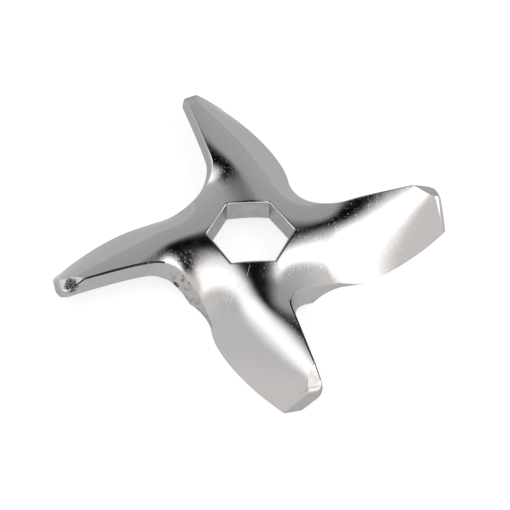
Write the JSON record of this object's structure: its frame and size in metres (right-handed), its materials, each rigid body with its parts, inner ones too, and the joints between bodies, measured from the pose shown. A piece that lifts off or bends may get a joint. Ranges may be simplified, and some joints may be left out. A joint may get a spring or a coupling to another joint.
{
  "type": "meat grinder knife",
  "caption": "Pressed steel cutting knife for a meat grinder: level-topped wings roll down from a hub with a hexagonal bore to cutting edges ground in one plane.",
  "frame": {"origin": "on the bore's axis, in the plane of the four cutting edges", "axes": "+Z along the bore, away from the cutting plane; +X along one wing; seen from +Z each wing's level trailing side is its anticlockwise side"},
  "size_m": [0.0496, 0.0496, 0.0051],
  "materials": {
    "steel": "bright polished steel with fine scratches and a few pits"
  },
  "bodies": {
    "root": {"four_wing_knife": "steel"}
  },
  "joints": []
}
